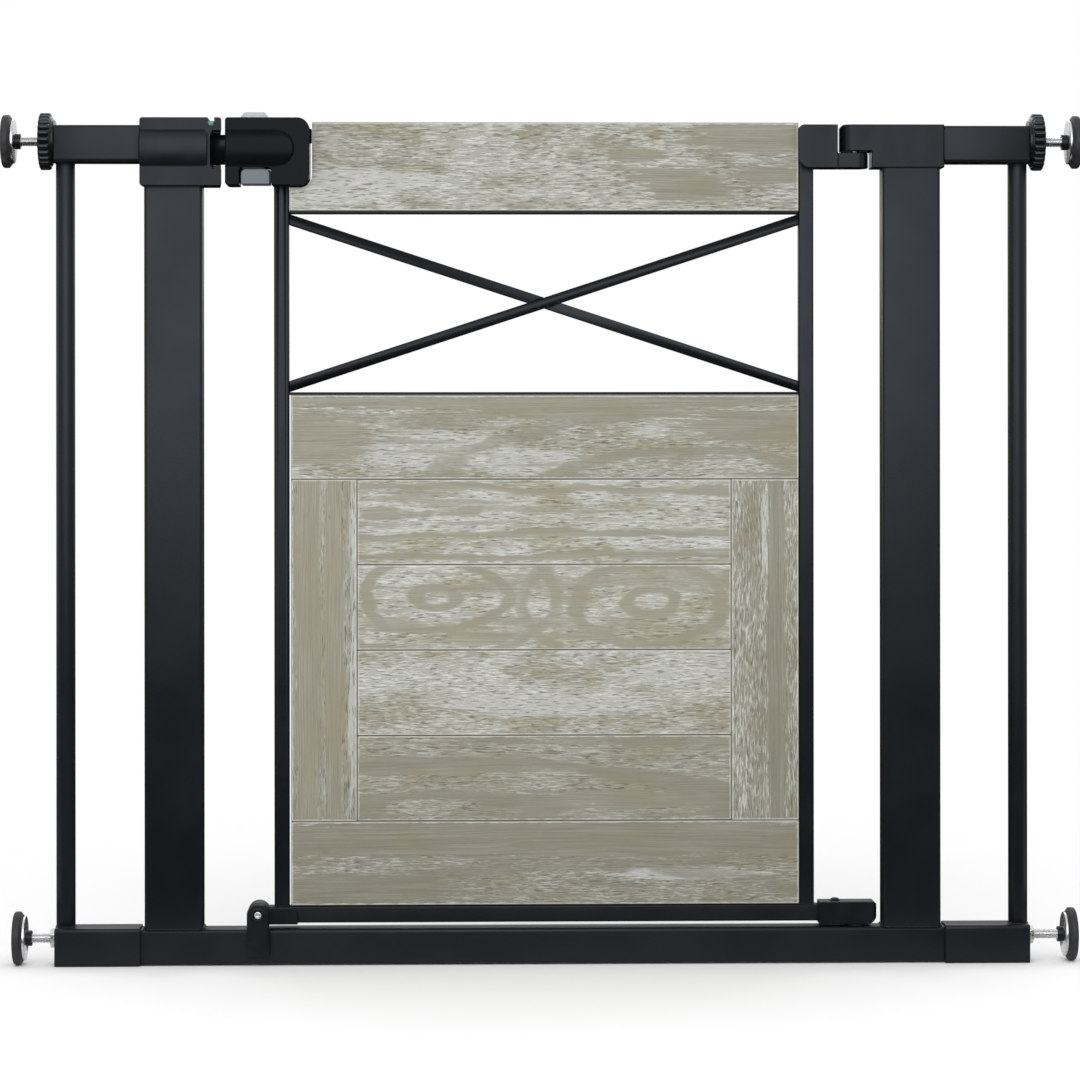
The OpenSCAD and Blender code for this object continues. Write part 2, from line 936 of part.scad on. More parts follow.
module door_right_stile() {
    color(STEEL)
        difference() {
            tube_z(stile_r_in + door_tube / 2, door_rail_top, header_top - 6, door_tube, door_tube, 1.6);
            rod_y(stile_r_in + door_tube / 2, header_top - 14, 0, 20, 1.9);
        }
}

module door_bottom_rail() {
    color(STEEL)
        difference() {
            tube_x(stop_x + 8, hinge_x - 10, door_rail_z + door_rail_h / 2, door_rail_h,
                door_tube, 1.6);
            translate([block_screw_x, 0, door_rail_z])
                cylinder(r = 1.8, h = 30, $fn = 32);
        }
}

// Thin flat bars that carry the header from below and close the panel above
module door_strips() {
    color(STEEL)
        for (z = [strip_high_z, strip_low_z])
            block([stile_l_in, -door_tube / 2, z], [stile_r_in, door_tube / 2, z + strip_t]);
}

brace_low = strip_low_z + strip_t;
brace_rise = strip_high_z - brace_low - brace_h / cos(18);
brace_run = stile_r_in - stile_l_in;
brace_angle = atan(brace_rise / brace_run);
brace_mid = [(stile_l_in + stile_r_in) / 2, 0, (brace_low + strip_high_z) / 2];

module brace(angle, d) {
    intersection() {
        translate(brace_mid)
            rotate([0, -angle, 0])
                cube([brace_run * 1.2, d, brace_h], center = true);
        block([stile_l_in, -20, brace_low], [stile_r_in, 20, strip_high_z]);
    }
}

module brace_bar() {
    color(STEEL)
        brace(brace_angle, brace_d);
}

module brace_half_bars() {
    color(STEEL)
        difference() {
            brace(-brace_angle, brace_d - 1);
            translate(brace_mid)
                rotate([0, -brace_angle, 0])
                    cube([brace_run, 40, brace_h + 0.02], center = true);
        }
}

// ---------------------------------------------------------------- boards

module header_board() {
    notch_r = 10.6;
    color(WOOD)
        difference() {
            board(board_l, board_r, header_z, header_top, board_t);
            slab_y(-board_t, board_t) {
                translate([board_l - 1, notch_z + notch_r])
                    square([notch_x - board_l + 1, header_top - notch_z]);
                translate([board_l - 1, notch_z])
                    square([notch_x - notch_r - board_l + 1, notch_r + 1]);
                translate([notch_x - notch_r, notch_z + notch_r])
                    circle(r = notch_r, $fn = 64);
            }
        }
}

module panel_top_board() {
    color(WOOD)
        board(board_l + 0.8, board_r, panel_top - top_board_h, panel_top, board_t);
}

module panel_bottom_board() {
    color(WOOD)
        board(board_l + 0.8, board_r, panel_z, slat_z - 0.05, board_t);
}

module panel_left_board() {
    color(WOOD)
        board(board_l + 0.8, board_l + side_board_w, slat_z, panel_top - top_board_h - 0.05,
            board_t, false);
}

module panel_right_board() {
    color(WOOD)
        board(board_r - side_board_w - 0.6, board_r, slat_z, panel_top - top_board_h - 0.05,
            board_t, false);
}

module panel_slats() {
    color(WOOD)
        for (i = [0:slat_count - 1])
            board(board_l + side_board_w + 0.05, board_r - side_board_w - 0.65,
                slat_z + i * slat_h + 0.05, slat_z + (i + 1) * slat_h - 0.1, slat_t);
}

// ---------------------------------------------------------------- latch

module latch_outline(inset = 0) {
    r_top = 10.2 - inset;
    r_low = 9.2 - inset;
    r_left = 2.4 - inset / 2;
    l = latch_l + inset;
    r = latch_r - inset;
    b = latch_z + inset;
    t = gate_h - inset;
    translate([l + r_left, b])
        square([r - l - r_left - r_top, t - b]);
    translate([l, b + r_left])
        square([r_left * 2, t - b - 2 * r_left]);
    translate([r - r_top - 1, b + r_low])
        square([r_top + 1, t - b - r_low - r_top]);
    translate([r - r_top - 1, b])
        square([r_top + 1 - r_low, r_low + 1]);
    for (z = [b + r_left, t - r_left])
        translate([l + r_left, z])
            circle(r = r_left, $fn = 48);
    translate([r - r_top, t - r_top])
        circle(r = r_top, $fn = 64);
    translate([r - r_low, b + r_low])
        circle(r = r_low, $fn = 64);
}

module latch_body() {
    inner = shell_d / 2 - shell_t;
    difference() {
        union() {
            slab_y(-shell_d / 2, shell_d / 2)
                latch_outline();
            intersection() {
                crowned_bar(latch_l, band_end);
                slab_y(-big, big)
                    band_outline();
            }
            // buffer on the side that faces the header board
            block([latch_r - 2, -4, band_z + 5.6], [latch_r + 1.4, 4, band_z + 17.4]);
        }
        // groove round the band
        for (side = [-1, 1])
            slab_y(side * shell_d / 2 - 0.6, side * shell_d / 2 + 0.6)
                difference() {
                    band_outline(0.9);
                    band_outline();
                }
        // mechanism chamber, with ribs left for the bolt above and below
        block([latch_l + shell_t, -inner, latch_z + shell_t], [chamber_r, inner, trigger_top + 7]);
        block([latch_l + shell_t, -bolt_d / 2 - gap, bolt_z - gap],
            [spring_r, bolt_d / 2 + gap, bolt_z + bolt_h + gap]);
        // hollow beside the stile and the spring
        block([stile_l_in + 2, -inner, latch_z + 9], [latch_r - shell_t - 1, inner, shelf_z - 3]);
        block([latch_l - 1, -bolt_d / 2 - gap, bolt_z - gap],
            [latch_l + shell_t + 1, bolt_d / 2 + gap, bolt_z + bolt_h + gap]);
        // button well and its opening in the top
        block([button_x - 13, -10.2, shelf_z + 1.6], [button_x + 13, 10.2, gate_h - shell_t]);
        block([button_x - 11.8, -8.4, shelf_z + 1.6], [button_x + 11.8, 8.4, gate_h + 1]);
        // trigger window through front, back and bottom
        slab_y(-shell_d, shell_d) {
            translate([trigger_l - window_gap, latch_z - 2])
                square([trigger_r - trigger_l + 2 * window_gap, trigger_top - latch_z]);
            translate([trigger_l + 2, latch_z])
                square([trigger_r - trigger_l - 4, trigger_top - latch_z + window_gap]);
            for (x = [trigger_l + 2, trigger_r - 2])
                translate([x, trigger_top - 2])
                    circle(r = 2 + window_gap, $fn = 48);
        }
        // socket for the stile
        block([stile_l - 0.1, -door_tube / 2 - 0.1, latch_z - 1],
            [stile_l_in + 0.1, door_tube / 2 + 0.1, latch_z + 12.2]);
    }
}

LATCH_SCREWS = [
    [stile_l + door_tube / 2, latch_z + 6], [latch_l + 6.1, gate_h - 5.4], [latch_r - 8, gate_h - 9]
];

module latch_front_shell() {
    color(PLASTIC)
        difference() {
            intersection() {
                latch_body();
                front_half();
            }
            for (s = LATCH_SCREWS)
                rod_y(s[0], s[1], -shell_d / 2 + 4, 1, 1.6);
        }
}

module latch_rear_shell() {
    color(PLASTIC)
        difference() {
            intersection() {
                latch_body();
                rear_half();
            }
            for (s = LATCH_SCREWS) {
                rod_y(s[0], s[1], -1, big, 1.8);
                rod_y(s[0], s[1], shell_d / 2 - 1.2, big, 3.9);
            }
        }
}

module door_screws() {
    color(ZINC) {
        rear_screw(LATCH_SCREWS[0][0], LATCH_SCREWS[0][1], shell_d / 2 - 1.2, 28);
        rear_screw(LATCH_SCREWS[1][0], LATCH_SCREWS[1][1], shell_d / 2 - 1.2, 28);
        rear_screw(LATCH_SCREWS[2][0], LATCH_SCREWS[2][1], shell_d / 2 - 1.2, 28);
        rear_screw(stile_r_in + door_tube / 2, header_top - 14, bracket_d, 10);
        translate([block_screw_x, 0, block_z + block_h])
            rotate([180, 0, 0])
                screw(13, 1.75, 5.6);
    }
}

// Height of the wedge face at a given x, at rest; the bolt and the trigger share it
function ramp_x(z) = ramp_start - ramp_ratio * (z - bolt_z);

module latch_bolt() {
    color(PLASTIC)
        difference() {
            translate([0, 0, bolt_z])
                linear_extrude(height = bolt_h)
                    polygon([
                        [bolt_l, -bolt_d / 2], [bolt_r, -bolt_d / 2], [bolt_r, bolt_d / 2],
                        [bolt_l + 4.5, bolt_d / 2], [bolt_l, bolt_d / 2 - 6.5]
                    ]);
            // window for the wedge, its right side is the driven face
            slab_y(-20, 20)
                polygon([
                    [ramp_x(bolt_z - 1) + gap, bolt_z - 1],
                    [bolt_window_l, bolt_z + (ramp_start - bolt_window_l) / ramp_ratio],
                    [bolt_window_l, bolt_z - 1]
                ]);
            rod_x(spring_l - gap, bolt_r + 1, bolt_z + bolt_h - 6.4, 4.4);
        }
}

module bolt_spring() {
    color(ZINC)
        translate([spring_l, 0, bolt_z + bolt_h - 6.4])
            rotate([0, 90, 0])
                coil(3.5, 0.45, spring_r - gap - spring_l, 7);
}

module top_button() {
    color([0.60, 0.62, 0.64])
        difference() {
            union() {
                block([button_x - 12.7, -9.9, gate_h - 7.4], [button_x + 12.7, 9.9, gate_h - shell_t - 0.1]);
                slab_y(-8.1, 8.1)
                    polygon([
                        [button_x - 11.6, gate_h - 5], [button_x + 11.6, gate_h - 5],
                        [button_x + 11.6, gate_h + 1], [button_x + 8.4, button_top],
                        [button_x - 8.4, button_top], [button_x - 11.6, gate_h + 1]
                    ]);
            }
            translate([button_x, 0, 0])
                cylinder(r = 5, h = gate_h + 2, $fn = 64);
        }
}

module button_spring() {
    color(ZINC)
        translate([button_x, 0, shelf_z + 1.7])
            coil(4.1, 0.4, gate_h + 2 - shelf_z - 1.8, 6);
}

module squeeze_trigger() {
    y_out = shell_d / 2 - shell_t - 0.3;
    y_in = bolt_d / 2 + 0.7;
    color([0.47, 0.50, 0.53]) {
        // cheeks at front and back, rounded at their top corners
        for (side = [-1, 1])
            slab_y(side > 0 ? y_in : -y_out, side > 0 ? y_out : -y_in) {
                translate([trigger_l, trigger_z])
                    square([trigger_r - trigger_l, trigger_top - trigger_z - 4]);
                translate([trigger_l + 4, trigger_z])
                    square([trigger_r - trigger_l - 8, trigger_top - trigger_z]);
                for (x = [trigger_l + 4, trigger_r - 4])
                    translate([x, trigger_top - 4])
                        circle(r = 4, $fn = 48);
            }
        // bridge between the cheeks
        block([trigger_l, -y_in - 0.5, trigger_z], [trigger_r, y_in + 0.5, trigger_mid_top]);
        // wedge that drives the bolt
        slab_y(-bolt_d / 2 + 1, bolt_d / 2 - 1)
            polygon([
                [trigger_l + 0.4, trigger_mid_top - 1],
                [ramp_x(trigger_mid_top - 1), trigger_mid_top - 1],
                [trigger_l + 0.4, bolt_z + (ramp_start - trigger_l - 0.4) / ramp_ratio]
            ]);
    }
}

// ---------------------------------------------------------------- swing stop

module door_end_cap() {
    low = door_rail_z - 1.2;
    color(PLASTIC)
        difference() {
            union() {
                // barrel with a step at each end
                rod_y(stop_x, stop_z, -cap_d, cap_d, 8.4);
                rod_y(stop_x, stop_z, -cap_d + 3.4, cap_d - 3.4, 9.4);
                // neck and channel that wrap the rail from below
                block([stop_x, -sleeve_d, low], [sleeve_r, sleeve_d, door_rail_top - 1.2]);
                block([sleeve_r - 0.5, -sleeve_d, low], [sleeve_r + 6, sleeve_d, door_rail_top - 7]);
                rod_y(sleeve_r, door_rail_top - 7, -sleeve_d, sleeve_d, 5.8);
            }
            block([stop_x + 7.9, -door_tube / 2 - 0.1, door_rail_z - 0.1],
                [0, door_tube / 2 + 0.1, door_rail_top + 10]);
            rod_y(stop_x, stop_z, -20, 6, 2);
        }
}

// Flap in front of the bottom rail: it keeps the door from swinging to the rear
module swing_stop() {
    pad_r = 8.8;
    color(PLASTIC)
        difference() {
            union() {
                slab_y(stop_back - 3, stop_back) {
                    translate([stop_x, stop_z - stop_len / 2])
                        rounded(stop_w, stop_len, 2.2);
                    translate([stop_x, stop_z])
                        circle(r = stop_w / 2, $fn = 64);
                }
                // raised pad, round at both ends, above the plain tongue
                slab_y(stop_front + 1, stop_back - 2.9) {
                    translate([stop_x, stop_z])
                        circle(r = pad_r, $fn = 64);
                    translate([stop_x, stop_z - pad_drop])
                        circle(r = pad_r, $fn = 64);
                    translate([stop_x - pad_r, stop_z - pad_drop])
                        square([2 * pad_r, pad_drop]);
                }
                rod_y(stop_x, stop_z, stop_front, stop_back - 3, ring_r);
            }
            rod_y(stop_x, stop_z, -30, 0, 2.05);
            rod_y(stop_x, stop_z, -30, stop_front + 1.6, ring_r - 2);
        }
}

module stop_screw() {
    color(ZINC) {
        rod_y(stop_x, stop_z, stop_front + 1, 5, 2);
        difference() {
            rod_y(stop_x, stop_z, stop_front - 0.2, stop_front + 1.5, 2.9);
            for (a = [0, 90])
                translate([stop_x, stop_front - 0.4, stop_z])
                    rotate([0, a, 0])
                        cube([3.6, 1.6, 0.8], center = true);
        }
    }
}

// ---------------------------------------------------------------- assembly

bottom_rail();
left_post();
right_post();
extension_joiners();
left_extension_top_bar();
left_extension_bottom_bar();
left_extension_upright();
right_extension_top_bar();
right_extension_bottom_bar();
right_extension_upright();
end_plugs();
catch_front_shell();
catch_rear_shell();
frame_screws();
hinge_cover();
hinge_pin();
pivot_bush();
indicator_flag();
top_left_thumbwheel();
top_right_thumbwheel();
bottom_left_nut();
bottom_right_nut();
top_left_spindle();
top_right_spindle();
bottom_left_spindle();
bottom_right_spindle();
top_left_disc();
top_right_disc();
bottom_left_disc();
bottom_right_disc();
top_left_pad();
top_right_pad();
bottom_left_pad();
bottom_right_pad();
door_left_stile();
door_right_stile();
door_bottom_rail();
door_strips();
brace_bar();
brace_half_bars();
header_board();
panel_top_board();
panel_bottom_board();
panel_left_board();
panel_right_board();
panel_slats();
latch_front_shell();
latch_rear_shell();
door_screws();
latch_bolt();
bolt_spring();
top_button();
button_spring();
squeeze_trigger();
hinge_bracket();
pivot_block();
pivot_pin();
door_end_cap();
swing_stop();
stop_screw();
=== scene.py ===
"""Looks of the safety gate: materials, eased edges, threads, welds, floor, light and camera."""
import math

import bmesh
import bpy
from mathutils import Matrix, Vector


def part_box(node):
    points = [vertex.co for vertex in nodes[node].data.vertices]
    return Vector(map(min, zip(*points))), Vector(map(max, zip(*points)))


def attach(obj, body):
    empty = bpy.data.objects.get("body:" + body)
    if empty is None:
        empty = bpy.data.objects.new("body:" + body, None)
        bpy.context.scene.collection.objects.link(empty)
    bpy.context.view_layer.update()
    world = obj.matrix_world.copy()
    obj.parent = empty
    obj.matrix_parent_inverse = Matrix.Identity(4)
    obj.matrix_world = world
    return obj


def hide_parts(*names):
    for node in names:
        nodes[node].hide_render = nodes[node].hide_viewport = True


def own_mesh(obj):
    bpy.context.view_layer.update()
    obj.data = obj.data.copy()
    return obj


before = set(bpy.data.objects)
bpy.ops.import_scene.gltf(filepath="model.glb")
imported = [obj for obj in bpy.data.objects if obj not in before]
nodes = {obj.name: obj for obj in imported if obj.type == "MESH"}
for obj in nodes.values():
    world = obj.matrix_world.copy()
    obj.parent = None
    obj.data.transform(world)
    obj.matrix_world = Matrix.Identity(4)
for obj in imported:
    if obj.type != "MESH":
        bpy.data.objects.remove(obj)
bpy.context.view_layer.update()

MM = 0.001


# ---------------------------------------------------------------- node tree helpers

class Tree:
    """A material's node tree, with short calls for the nodes used here."""

    def __init__(self, name):
        self.mat = bpy.data.materials.new(name)
        self.mat.use_nodes = True
        self.nodes = self.mat.node_tree.nodes
        self.links = self.mat.node_tree.links
        self.bsdf = self.nodes["Principled BSDF"]
        self.coord = self.nodes.new("ShaderNodeTexCoord").outputs["Object"]

    def put(self, socket, value):
        """Links value to the socket if it is a socket, or sets it."""
        if isinstance(value, bpy.types.NodeSocket):
            self.links.new(value, socket)
        else:
            socket.default_value = value

    def math(self, operation, a, b=0.0):
        n = self.nodes.new("ShaderNodeMath")
        n.operation = operation
        self.put(n.inputs[0], a)
        self.put(n.inputs[1], b)
        return n.outputs[0]

    def vector(self, operation, a, b):
        n = self.nodes.new("ShaderNodeVectorMath")
        n.operation = operation
        self.put(n.inputs[0], a)
        self.put(n.inputs[1], b)
        return n.outputs[0]

    def split(self, v):
        n = self.nodes.new("ShaderNodeSeparateXYZ")
        self.put(n.inputs[0], v)
        return n.outputs

    def join(self, x, y, z):
        n = self.nodes.new("ShaderNodeCombineXYZ")
        for socket, value in zip(n.inputs, (x, y, z)):
            self.put(socket, value)
        return n.outputs[0]

    def noise(self, v, scale, detail, rough=0.5, distort=0.0):
        n = self.nodes.new("ShaderNodeTexNoise")
        self.put(n.inputs["Vector"], v)
        n.inputs["Scale"].default_value = scale
        n.inputs["Detail"].default_value = detail
        n.inputs["Roughness"].default_value = rough
        n.inputs["Distortion"].default_value = distort
        return n.outputs["Fac"]

    def ramp(self, value, low, high, out_low=0.0, out_high=1.0):
        """Smooth step from out_low at low to out_high at high."""
        n = self.nodes.new("ShaderNodeMapRange")
        n.interpolation_type = "SMOOTHSTEP"
        self.put(n.inputs["Value"], value)
        n.inputs["From Min"].default_value = low
        n.inputs["From Max"].default_value = high
        n.inputs["To Min"].default_value = out_low
        n.inputs["To Max"].default_value = out_high
        return n.outputs["Result"]

    def mix(self, factor, a, b):
        n = self.nodes.new("ShaderNodeMix")
        n.data_type = "RGBA"
        self.put(n.inputs["Factor"], factor)
        for socket, value in ((n.inputs["A"], a), (n.inputs["B"], b)):
            self.put(socket, (*value, 1.0) if isinstance(value, tuple) else value)
        return n.outputs["Result"]

    def bump(self, height, distance, strength):
        n = self.nodes.new("ShaderNodeBump")
        n.inputs["Distance"].default_value = distance
        n.inputs["Strength"].default_value = strength
        self.put(n.inputs["Height"], height)
        return n.outputs["Normal"]

    def finish(self, color, rough, normal=None, metallic=0.0, specular=0.5, tint=(1.0, 1.0, 1.0)):
        b = self.bsdf.inputs
        self.put(b["Base Color"], (*color, 1.0) if isinstance(color, tuple) else color)
        self.put(b["Roughness"], rough)
        b["Metallic"].default_value = metallic
        b["Specular IOR Level"].default_value = specular
        b["Specular Tint"].default_value = (*tint, 1.0)
        if normal is not None:
            self.links.new(normal, b["Normal"])
        return self.mat


# ---------------------------------------------------------------- materials

COOL = (0.80, 0.91, 1.0)               # the black parts mirror a slightly blue room


def powder_coat(name, color):
    """Baked powder paint: fine orange peel, faint clouding, a few rubbed specks."""
    t = Tree(name)
    rough = 0.40
    peel = t.noise(t.coord, 1500, 2.0, 0.6)
    cloud = t.noise(t.coord, 14, 3.0, 0.55)
    speck = t.noise(t.coord, 900, 1.0, 0.4)
    base = t.mix(t.ramp(cloud, 0.35, 0.7), color, tuple(c * 1.2 for c in color))
    base = t.mix(t.ramp(speck, 0.72, 0.80, 0.0, 0.35), base, tuple(c * 3.0 for c in color))
    roughness = t.ramp(cloud, 0.3, 0.75, rough - 0.05, rough + 0.06)
    return t.finish(base, roughness, t.bump(peel, 0.00016, 0.55), 0.0, 0.25, COOL)


def moulded(name, color, rough, specular=0.42):
    """Injection moulded plastic: fine spark texture and faint flow marks."""
    t = Tree(name)
    spark = t.noise(t.coord, 2200, 1.0, 0.5)
    flow = t.noise(t.vector("MULTIPLY", t.coord, (14.0, 14.0, 5.0)), 3.0, 3.0, 0.5, 0.6)
    base = t.mix(t.ramp(flow, 0.3, 0.75), color, tuple(c * 1.16 for c in color))
    roughness = t.ramp(flow, 0.3, 0.7, rough - 0.04, rough + 0.06)
    return t.finish(base, roughness, t.bump(spark, 0.00005, 0.4), 0.0, specular, COOL)


def rubber(name):
    """Matt rubber with a dusty bloom."""
    t = Tree(name)
    bloom = t.noise(t.coord, 160, 4.0, 0.65)
    base = t.mix(t.ramp(bloom, 0.4, 0.75), (0.012, 0.0125, 0.014), (0.028, 0.029, 0.031))
    return t.finish(base, t.ramp(bloom, 0.3, 0.7, 0.5, 0.72), t.bump(bloom, 0.0001, 0.4), 0.0, 0.35)


def zinc(name):
    """Zinc plating: pale grey with soft spangle and handling marks."""
    t = Tree(name)
    spangle = t.noise(t.coord, 420, 3.0, 0.6)
    stain = t.noise(t.coord, 55, 3.0, 0.6)
    base = t.mix(t.ramp(stain, 0.35, 0.7), (0.66, 0.67, 0.68), (0.55, 0.545, 0.52))
    rough = t.ramp(spangle, 0.3, 0.7, 0.22, 0.38)
    return t.finish(base, rough, t.bump(spangle, 0.00004, 0.5), 1.0)


def flag_paint(name, window_right, window_width):
    """Green where the locked half of the slide is, red on its other half."""
    t = Tree(name)
    x = t.split(t.coord)[0]
    green_side = t.ramp(x, window_right - window_width * 1.04, window_right - window_width * 0.98)
    scuff = t.noise(t.coord, 700, 3.0, 0.6)
    base = t.mix(green_side, (0.42, 0.02, 0.015), (0.012, 0.17, 0.105))
    base = t.mix(t.ramp(scuff, 0.45, 0.9, 0.0, 0.3), base, (0.05, 0.24, 0.16))
    return t.finish(base, t.ramp(scuff, 0.3, 0.7, 0.28, 0.4), t.bump(scuff, 0.00003, 0.4))


BARE = (0.210, 0.202, 0.158)            # planed board under its thin grey stain
VEIL = (0.338, 0.347, 0.324)            # thin film of wash
WASH = (0.462, 0.466, 0.432)            # white wash left in brushed grain
PORE = (0.066, 0.063, 0.050)            # dust in the open pores
RIM_WASH_AND_HIGHLIGHT = (0.56, 0.56, 0.52)                # wash gathered along a board's edge, with a painted highlight on the eased edge
PAINTED_JOINT_SHADE = (0.085, 0.080, 0.062)          # painted shade in the joint between two boards


class Board:
    """How one board looks; lengths in millimetres, shares from 0 to 1.

    low is the board's lower left corner and size its width and height on the face.
    along is the axis the grain follows, "x" or "z", and tone the lightness of the bare wood.
    dash is the share of white dashes, veil that of the thin wash, ring_show that of the growth figures.
    rings lists growth figures as (place along, place across, steepness of the arch, ring spacing).
    bare lists smooth patches, and pale washed ones, as (along, across, half length, half width).
    """

    def __init__(self, low, size, along="x", seed=0.0, tone=1.0, dash=0.6, veil=0.4, rings=(), bare=(),
                 pale=(), ring_show=0.6):
        self.low, self.size, self.along, self.seed, self.tone = low, size, along, seed, tone
        self.dash, self.veil, self.rings, self.bare, self.pale = dash, veil, rings, bare, pale
        self.ring_show = ring_show


def oval(t, run, across, patch, ragged):
    """1 inside a long patch, 0 outside, with a ragged edge drawn out along the grain."""
    place, height, half_run, half_across = patch
    a = t.math("DIVIDE", t.math("SUBTRACT", run, place), half_run)
    b = t.math("DIVIDE", t.math("SUBTRACT", across, height), half_across)
    far = t.math("SQRT", t.math("ADD", t.math("MULTIPLY", a, a), t.math("MULTIPLY", b, b)))
    return t.ramp(t.math("ADD", far, ragged), 1.12, 0.86)


def washed_wood(name, board):
    """Brushed softwood, stained grey and rubbed with white wash that stays in the open grain."""
    t = Tree(name)
    x, y, z = (t.math("MULTIPLY", s, 1.0 / MM) for s in t.split(t.coord))
    u = t.math("SUBTRACT", x, board.low[0])
    w = t.math("SUBTRACT", z, board.low[1])
    width, height = board.size
    run, across = (u, w) if board.along == "x" else (w, u)
    deep = t.math("ADD", across, t.math("MULTIPLY", y, 0.7))
    seed = board.seed

    # slow wander, small enough that grain lines stay nearly straight
    slow = t.noise(t.join(t.math("MULTIPLY", run, 0.006), t.math("MULTIPLY", across, 0.02), seed), 1.0, 2.0)
    wander = t.math("MULTIPLY", t.math("SUBTRACT", slow, 0.5), 9.0)
    line = t.math("ADD", deep, wander)

    def streaks(run_scale, across_scale, detail, extra):
        v = t.join(t.math("MULTIPLY", run, run_scale), t.math("MULTIPLY", line, across_scale), seed + extra)
        return t.noise(v, 1.0, detail, 0.6)

    dash = streaks(0.11, 0.90, 2.5, 1.3)          # short brushed dashes
    pore = streaks(0.10, 0.80, 1.5, 5.1)          # dark open pores
    comb = streaks(0.014, 1.0, 2.0, 9.7)          # long combed lines
    broad = streaks(0.006, 0.11, 2.0, 14.2)       # broad early and late wood
    cloud = t.noise(t.join(t.math("MULTIPLY", run, 0.016), t.math("MULTIPLY", across, 0.035), seed + 21.0),
                    1.0, 3.0, 0.6)
    ragged = t.math("MULTIPLY", t.math("SUBTRACT", streaks(0.03, 0.5, 3.0, 30.3), 0.5), 1.9)

    # growth figures: arches and long bands of smooth, darker late wood
    figure = t.ramp(broad, 0.52, 0.64, 0.0, 0.75)
    for place, level, steep, spacing in board.rings:
        a = t.math("MULTIPLY", t.math("SUBTRACT", run, place), steep)
        b = t.math("SUBTRACT", line, level)
        far = t.math("SQRT", t.math("ADD", t.math("MULTIPLY", a, a), t.math("MULTIPLY", b, b)))
        uneven = t.math("ADD", far, t.math("MULTIPLY", cloud, 16.0))
        phase = t.math("FRACT", t.math("DIVIDE", uneven, spacing))
        late = t.math("MULTIPLY", t.ramp(phase, 0.56, 0.70), t.ramp(phase, 0.97, 0.88))
        near = t.ramp(far, spacing * 3.4, spacing * 2.2)
        figure = t.math("MAXIMUM", figure, t.math("MULTIPLY", late, near))
    smooth = t.math("MULTIPLY", figure, board.ring_show)
    for patch in board.bare:
        smooth = t.math("MAXIMUM", smooth, oval(t, run, across, patch, ragged))
    smooth = t.math("MINIMUM", smooth, 0.93)
    rough_grain = t.math("SUBTRACT", 1.0, smooth)

    tone = tuple(c * board.tone for c in BARE)
    base = t.mix(t.ramp(comb, 0.30, 0.70), tuple(c * 0.84 for c in tone), tuple(c * 1.14 for c in tone))
    warm = (tone[0] * 1.0, tone[1] * 0.91, tone[2] * 0.80)
    base = t.mix(t.ramp(cloud, 0.48, 0.68, 0.0, 0.6), base, warm)
    base = t.mix(t.math("MULTIPLY", figure, 0.30), base, tuple(c * 0.72 for c in tone))

    # thin veil of wash, then dashes of wash, then pores
    veil = t.math("MULTIPLY", t.ramp(cloud, 0.62, 0.36), board.veil)
    for patch in board.pale:
        veil = t.math("MAXIMUM", veil, t.math("MULTIPLY", oval(t, run, across, patch, ragged), 0.85))
    base = t.mix(t.math("MULTIPLY", veil, rough_grain), base, VEIL)
    reach = t.ramp(cloud, 0.68, 0.30, 0.40, 1.0)
    marks = t.math("MULTIPLY", t.math("MULTIPLY", t.ramp(dash, 0.515, 0.575), rough_grain), reach)
    base = t.mix(t.math("MULTIPLY", marks, min(1.0, board.dash * 1.25)), base, WASH)
    holes = t.math("MULTIPLY", t.ramp(pore, 0.42, 0.36), t.math("MAXIMUM", rough_grain, 0.12))
    base = t.mix(t.math("MULTIPLY", holes, 0.60), base, PORE)

    # wash and wear along the eased edges of the face, with a painted highlight there, and painted shade in
    # the joints between boards
    frayed = t.noise(t.vector("MULTIPLY", t.coord, (140.0, 140.0, 140.0)), 1.0, 3.0)
    edge_noise = t.math("MULTIPLY", frayed, 2.6)
    side = t.math("MINIMUM", t.math("MINIMUM", u, t.math("SUBTRACT", width, u)),
                  t.math("MINIMUM", w, t.math("SUBTRACT", height, w)))
    # painted highlight along the eased edges, mixed with the wash gathered there
    rim = t.ramp(t.math("SUBTRACT", side, edge_noise), 0.6, -0.4)
    base = t.mix(t.math("MULTIPLY", rim, 0.5), base, RIM_WASH_AND_HIGHLIGHT)
    # painted shade in the joint between two boards, darkest right at the edge
    joint_shade_mask = t.ramp(side, 0.95, 0.35)
    base = t.mix(t.math("MULTIPLY", joint_shade_mask, 0.7), base, PAINTED_JOINT_SHADE)

    height_map = t.math("SUBTRACT", t.math("MULTIPLY", marks, 0.4), holes)
    normal = t.bump(t.math("ADD", height_map, t.math("MULTIPLY", comb, 0.5)), 0.00018, 0.5)
    return t.finish(base, t.ramp(dash, 0.35, 0.7, 0.60, 0.8), normal, 0.0, 0.22)


def floor_paint(world_strength):
    """Pale matt studio floor that fades into the backdrop's light."""
    t = Tree("studio_floor")
    mottle = t.noise(t.coord, 3.0, 3.0, 0.5)
    x, y = t.split(t.coord)[:2]
    far = t.math("SQRT", t.math("ADD", t.math("MULTIPLY", x, x), t.math("MULTIPLY", y, y)))
    fade = t.ramp(far, 0.75, 2.0)
    base = t.mix(mottle, (0.83, 0.83, 0.83), (0.86, 0.86, 0.86))
    base = t.mix(fade, base, (0.0, 0.0, 0.0))
    t.bsdf.inputs["Emission Color"].default_value = (1.0, 1.0, 1.0, 1.0)
    t.put(t.bsdf.inputs["Emission Strength"], t.math("MULTIPLY", fade, world_strength))
    return t.finish(base, 0.9, None, 0.0, 0.0)


